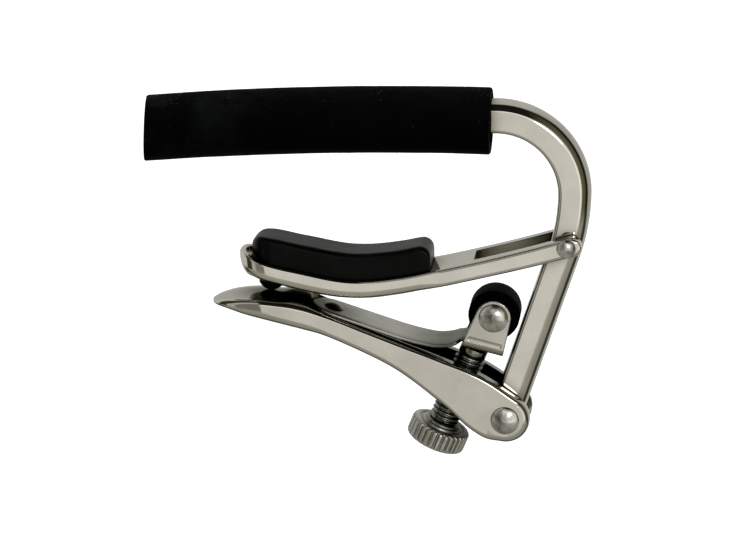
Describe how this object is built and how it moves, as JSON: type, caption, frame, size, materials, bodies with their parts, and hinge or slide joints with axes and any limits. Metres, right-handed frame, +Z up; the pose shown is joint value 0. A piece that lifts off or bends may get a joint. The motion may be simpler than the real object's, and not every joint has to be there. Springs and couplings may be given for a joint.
{
  "type": "guitar capo",
  "caption": "Hand-closed clamp for a guitar neck: hooked bar in a rubber sleeve, padded jaw, and a lever whose spring-borne roller shuts the jaw, set by a thumb screw.",
  "frame": {"origin": "centre of the bounding box's underside, under the thumb knob's lowest edge", "axes": "+X along the string bar towards its bend, +Y across the capo, +Z up from the lever side to the string bar"},
  "size_m": [0.0732, 0.011, 0.0616],
  "materials": {
    "bar_nickel": "polished nickel plate",
    "jaw_nickel": "polished nickel plate",
    "lever_nickel": "polished nickel plate",
    "bracket_nickel": "polished nickel plate",
    "rivet_nickel": "polished nickel plate",
    "spring_steel": "dull rolled spring steel",
    "screw_steel": "plated steel",
    "knob_steel": "dull plated steel, straight flutes",
    "cap_steel": "blackened steel, polished dome",
    "sleeve_rubber": "matt black extruded rubber",
    "pad_rubber": "satin black moulded rubber",
    "button_rubber": "satin black rubber",
    "roller_nylon": "smooth black nylon"
  },
  "bodies": {
    "frame": {"frame_bar": "bar_nickel", "string_sleeve": "sleeve_rubber", "jaw_pivot_rivet": "rivet_nickel", "lever_pivot_rivet": "rivet_nickel"},
    "jaw_arm": {"jaw": "jaw_nickel", "saddle_pad": "pad_rubber", "rest_button": "button_rubber"},
    "lever_arm": {"lever": "lever_nickel", "leaf_spring_rivet": "rivet_nickel"},
    "carrier": {"leaf_spring": "spring_steel", "roller_bracket": "bracket_nickel", "roller_axle_rivet": "rivet_nickel"},
    "wheel": {"roller": "roller_nylon"},
    "screw_tip": {"screw_tip_cap": "cap_steel"},
    "screw": {"adjusting_screw": "screw_steel", "adjusting_knob": "knob_steel"}
  },
  "joints": [
    {"name": "jaw_hinge", "type": "hinge", "parent": "frame", "child": "jaw_arm", "pos_m": [0.0329, 0, 0.03675], "axis": [0, 1, 0], "range_deg": [0, 15]},
    {"name": "lever_hinge", "type": "hinge", "parent": "frame", "child": "lever_arm", "pos_m": [0.02355, 0, 0.00725], "axis": [0, -1, 0], "range_deg": [0, 100]},
    {"name": "carrier_flex", "type": "hinge", "parent": "lever_arm", "child": "carrier", "pos_m": [-0.00305, 0, 0.02295], "axis": [0, -1, 0], "range_deg": [-3.17, 4.22], "deforming": ["leaf_spring"]},
    {"name": "roller_spin", "type": "hinge", "parent": "carrier", "child": "wheel", "pos_m": [0.02138, 0, 0.02441], "axis": [0, 1, 0], "continuous": true},
    {"name": "screw_travel", "type": "slide", "parent": "lever_arm", "child": "screw_tip", "axis": [0.3681, 0, 0.9298], "range_m": [-0.0012, 0.0016]},
    {"name": "screw_turn", "type": "hinge", "parent": "screw_tip", "child": "screw", "pos_m": [0.01225, 0, 0.00315], "axis": [0.3681, 0, 0.9298], "range_deg": [-540, 720]}
  ],
  "couplings": [
    {"joint": "screw_turn", "follows": "screw_travel", "rad_per_m": 7854},
    {"joint": "carrier_flex", "follows": "screw_travel", "rad_per_m": 46}
  ]
}
